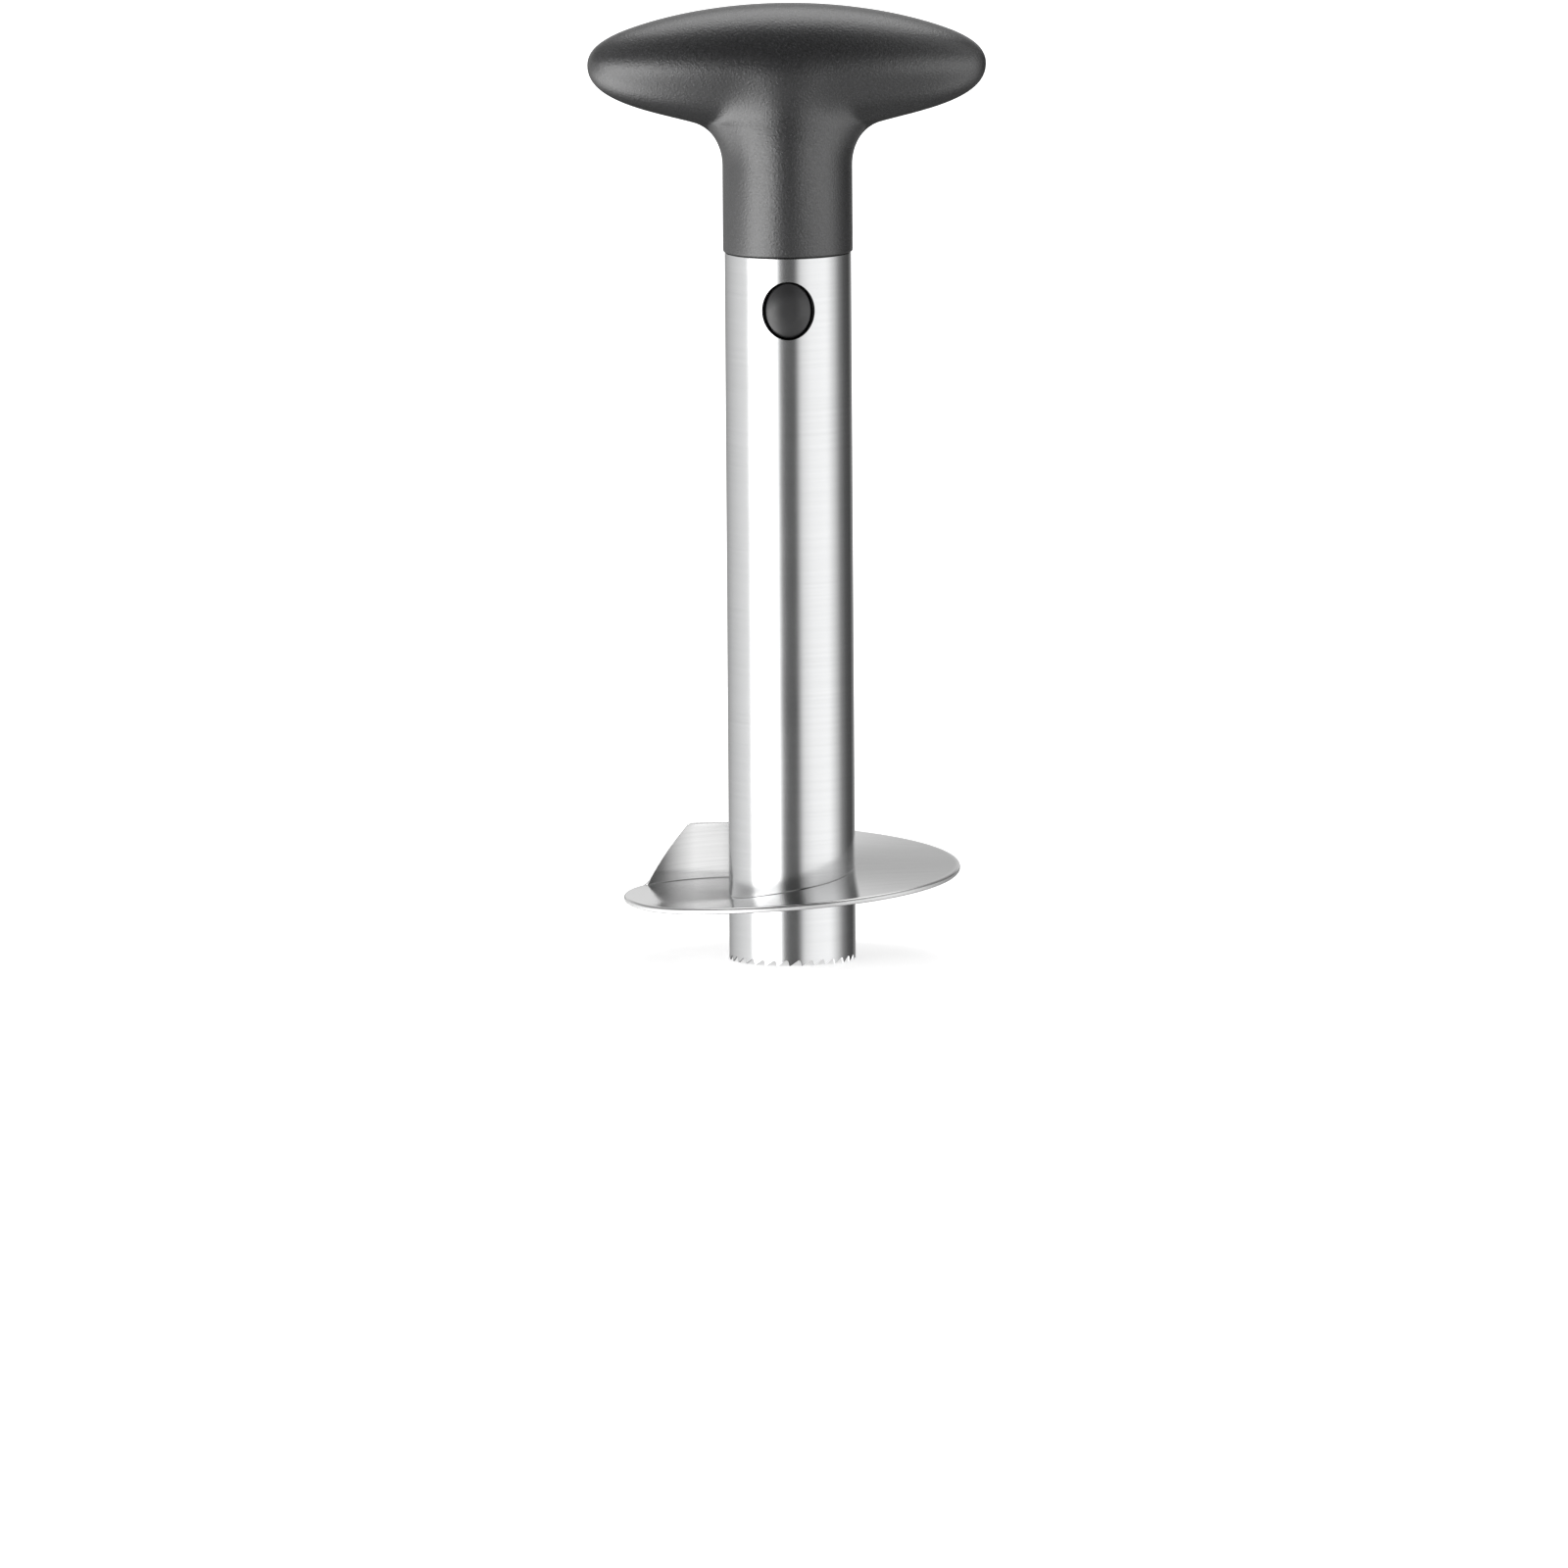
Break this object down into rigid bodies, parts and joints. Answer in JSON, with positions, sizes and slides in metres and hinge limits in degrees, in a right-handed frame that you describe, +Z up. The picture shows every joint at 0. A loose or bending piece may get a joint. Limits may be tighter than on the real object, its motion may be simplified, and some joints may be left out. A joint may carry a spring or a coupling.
{
  "type": "pineapple slicer",
  "caption": "Steel coring tube with toothed end, helical ring blade with side wing, and a pull-off black T-handle locked by two sprung buttons.",
  "frame": {"origin": "on the tube's axis, in the plane of the tooth tips that the slicer stands on", "axes": "+Z up the tube to the handle, +X along the handle's bar to the right, -Y the front with one of the two buttons"},
  "size_m": [0.1008, 0.0852, 0.2432],
  "materials": {
    "tube_steel": "polished stainless steel with faint drawing lines",
    "blade_steel": "brushed stainless steel with polished rim",
    "grip_plastic": "finely grained black plastic with a soft sheen",
    "spigot_plastic": "satin black moulded plastic",
    "latch_plastic": "satin black moulded plastic",
    "screw_steel": "plain steel"
  },
  "bodies": {
    "cutter": {"coring_tube": "tube_steel", "slicing_blade": "blade_steel"},
    "handle": {"grip_front_shell": "grip_plastic", "grip_rear_shell": "grip_plastic", "spigot": "spigot_plastic", "spigot_end_cap": "spigot_plastic", "cap_screw": "screw_steel"},
    "front_latch": {"latch_front": "latch_plastic"},
    "rear_latch": {"latch_rear": "latch_plastic"}
  },
  "joints": [
    {"name": "handle_pull", "type": "slide", "parent": "cutter", "child": "handle", "axis": [0, 0, 1], "range_m": [0, 0.05]},
    {"name": "front_latch_press", "type": "hinge", "parent": "handle", "child": "front_latch", "pos_m": [0, -0.00955, 0.1966], "axis": [1, 0, 0], "range_deg": [0, 5], "stiffness_Nm_per_rad": 1, "deforming": ["latch_front"]},
    {"name": "rear_latch_press", "type": "hinge", "parent": "handle", "child": "rear_latch", "pos_m": [0, 0.00955, 0.1966], "axis": [-1, 0, 0], "range_deg": [0, 5], "stiffness_Nm_per_rad": 1, "deforming": ["latch_rear"]}
  ]
}
